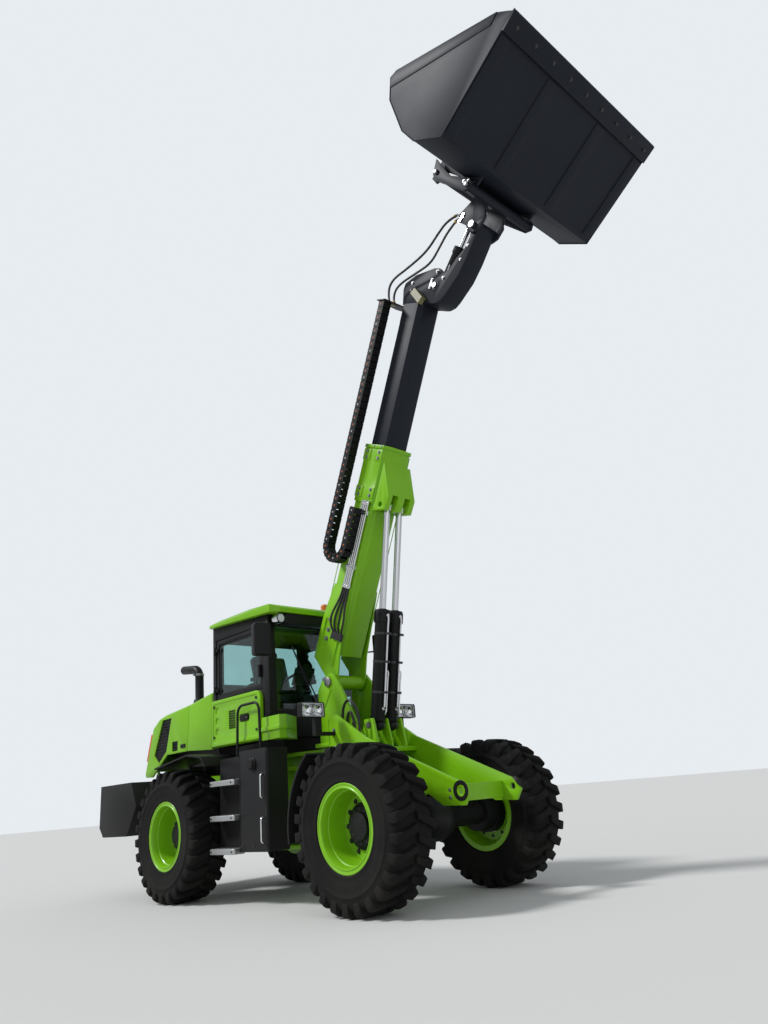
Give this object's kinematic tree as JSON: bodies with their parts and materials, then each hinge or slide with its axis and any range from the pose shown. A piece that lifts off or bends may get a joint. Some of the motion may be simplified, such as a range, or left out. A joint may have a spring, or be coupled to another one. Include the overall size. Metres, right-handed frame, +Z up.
{
  "type": "articulated telescopic wheel loader",
  "caption": "Articulated wheel loader with a raised telescopic boom, light-material bucket, closed cab, sloping hood and chunky tyres.",
  "frame": {"origin": "on the ground under the middle of the machine's length and width, as it stands in the picture", "axes": "+X forward towards the bucket, +Y to the machine's left, +Z up"},
  "size_m": [7.7892, 2.344, 7.557],
  "materials": {
    "green_paint": "gloss lime green paint",
    "black_paint": "satin black paint",
    "boom_black": "gloss blue-black paint",
    "tyre_rubber": "matt",
    "chrome_rod": "hard chrome",
    "pin_steel": "zinc plated",
    "tread_metal": "stamped grip plate",
    "clear_glass": "teal tint",
    "lamp_lens": "clear lens over reflector",
    "seat_vinyl": "dark vinyl",
    "trim_plastic": "moulded black",
    "cast_weight": "painted casting",
    "engine_iron": null,
    "amber_lens": "amber",
    "red_lens": "red"
  },
  "bodies": {
    "rear_frame": {"rear_chassis": "green_paint", "steering_pins": "pin_steel", "rear_axle": "black_paint", "engine_block": "engine_iron", "counterweight": "cast_weight", "side_tanks": "black_paint", "ladder_treads": "tread_metal", "rear_fenders": "trim_plastic", "cab_frame": "black_paint", "cab_glass": "clear_glass", "cab_roof": "green_paint", "side_panel_right": "green_paint", "front_boxes": "green_paint", "seat": "seat_vinyl", "steering_column": "trim_plastic", "console_right": "trim_plastic", "handrails": "black_paint", "mirrors": "black_paint", "beacon": "amber_lens", "work_lamps": "chrome_rod"},
    "hood": {"hood": "green_paint", "hood_grilles": "black_paint", "exhaust_stack": "black_paint", "tail_lamps": "red_lens"},
    "door_left": {"door_left_frame": "black_paint", "door_left_glass": "clear_glass"},
    "window_right": {"window_right_frame": "black_paint", "window_right_glass": "clear_glass"},
    "front_frame": {"front_chassis": "green_paint", "front_side_plates": "green_paint", "boom_towers": "green_paint", "front_crossbeams": "green_paint", "frame_pins": "pin_steel", "front_axle": "black_paint", "front_fenders": "trim_plastic", "lamp_brackets": "black_paint", "headlamps": "lamp_lens"},
    "wheel_front_left": {"tyre_front_left": "tyre_rubber", "rim_front_left": "green_paint"},
    "wheel_front_right": {"tyre_front_right": "tyre_rubber", "rim_front_right": "green_paint"},
    "wheel_rear_left": {"tyre_rear_left": "tyre_rubber", "rim_rear_left": "green_paint"},
    "wheel_rear_right": {"tyre_rear_right": "tyre_rubber", "rim_rear_right": "green_paint"},
    "outer_boom": {"outer_boom": "green_paint", "boom_collar": "green_paint", "boom_pipes": "chrome_rod", "energy_chain": "trim_plastic"},
    "inner_boom": {"inner_boom": "boom_black", "boom_head": "boom_black", "head_pins": "pin_steel", "chain_bracket": "black_paint"},
    "lift_barrels": {"lift_barrels": "black_paint"},
    "lift_rods": {"lift_rods": "chrome_rod"},
    "tilt_barrel": {"tilt_barrel": "black_paint"},
    "tilt_rod": {"tilt_rod": "chrome_rod"},
    "bucket": {"coupler": "boom_black", "bucket": "boom_black", "cutting_edge": "boom_black"}
  },
  "joints": [
    {"name": "steering", "type": "hinge", "parent": "rear_frame", "child": "front_frame", "pos_m": [-0.58232, 0, 0.9], "axis": [0, 0, 1], "range_deg": [-38, 38]},
    {"name": "spin_front_left", "type": "hinge", "parent": "front_frame", "child": "wheel_front_left", "pos_m": [0.93468, 0.875, 0.675], "axis": [0, 1, 0], "continuous": true},
    {"name": "spin_front_right", "type": "hinge", "parent": "front_frame", "child": "wheel_front_right", "pos_m": [0.93468, -0.875, 0.675], "axis": [0, 1, 0], "continuous": true},
    {"name": "spin_rear_left", "type": "hinge", "parent": "rear_frame", "child": "wheel_rear_left", "pos_m": [-2.09932, 0.875, 0.675], "axis": [0, 1, 0], "continuous": true},
    {"name": "spin_rear_right", "type": "hinge", "parent": "rear_frame", "child": "wheel_rear_right", "pos_m": [-2.09932, -0.875, 0.675], "axis": [0, 1, 0], "continuous": true},
    {"name": "boom_lift", "type": "hinge", "parent": "front_frame", "child": "outer_boom", "pos_m": [-0.16232, 0, 2.06], "axis": [0, -1, 0], "range_deg": [-85, 0]},
    {"name": "telescope", "type": "slide", "parent": "outer_boom", "child": "inner_boom", "axis": [0.4384, 0, 0.8988], "range_m": [-1.35, 0], "deforming": ["energy_chain"]},
    {"name": "bucket_tilt", "type": "hinge", "parent": "inner_boom", "child": "bucket", "pos_m": [2.43768, 0, 6.27], "axis": [0, 1, 0], "range_deg": [-45, 60]},
    {"name": "lift_swing", "type": "hinge", "parent": "front_frame", "child": "lift_barrels", "pos_m": [0.36768, 0, 1.56], "axis": [0, -1, 0], "range_deg": [-93.47, 1]},
    {"name": "lift_stroke", "type": "slide", "parent": "lift_barrels", "child": "lift_rods", "axis": [0.1832, 0, 0.9831], "range_m": [-0.9615, 0.002]},
    {"name": "tilt_swing", "type": "hinge", "parent": "inner_boom", "child": "tilt_barrel", "pos_m": [1.81768, 0, 5.92], "axis": [0, 1, 0], "range_deg": [-4.23, 5.65]},
    {"name": "tilt_stroke", "type": "slide", "parent": "tilt_barrel", "child": "tilt_rod", "axis": [0.6794, 0, 0.7338], "range_m": [-0.1507, 0.201]},
    {"name": "hood_lift", "type": "hinge", "parent": "rear_frame", "child": "hood", "pos_m": [-3.66732, 0, 1.38], "axis": [0, -1, 0], "range_deg": [0, 45]},
    {"name": "door_left_hinge", "type": "hinge", "parent": "rear_frame", "child": "door_left", "pos_m": [-1.69932, 0.674, 2], "axis": [0, 0, 1], "range_deg": [0, 80]},
    {"name": "window_right_hinge", "type": "hinge", "parent": "rear_frame", "child": "window_right", "pos_m": [-1.69932, -0.674, 2.3], "axis": [0, 0, -1], "range_deg": [0, 80]}
  ],
  "couplings": [
    {"joint": "lift_swing", "follows": "boom_lift", "ratio": 1.0879},
    {"joint": "lift_stroke", "follows": "boom_lift", "m_per_rad": 0.64677},
    {"joint": "tilt_swing", "follows": "bucket_tilt", "ratio": 0.08963},
    {"joint": "tilt_stroke", "follows": "bucket_tilt", "m_per_rad": 0.18814}
  ]
}
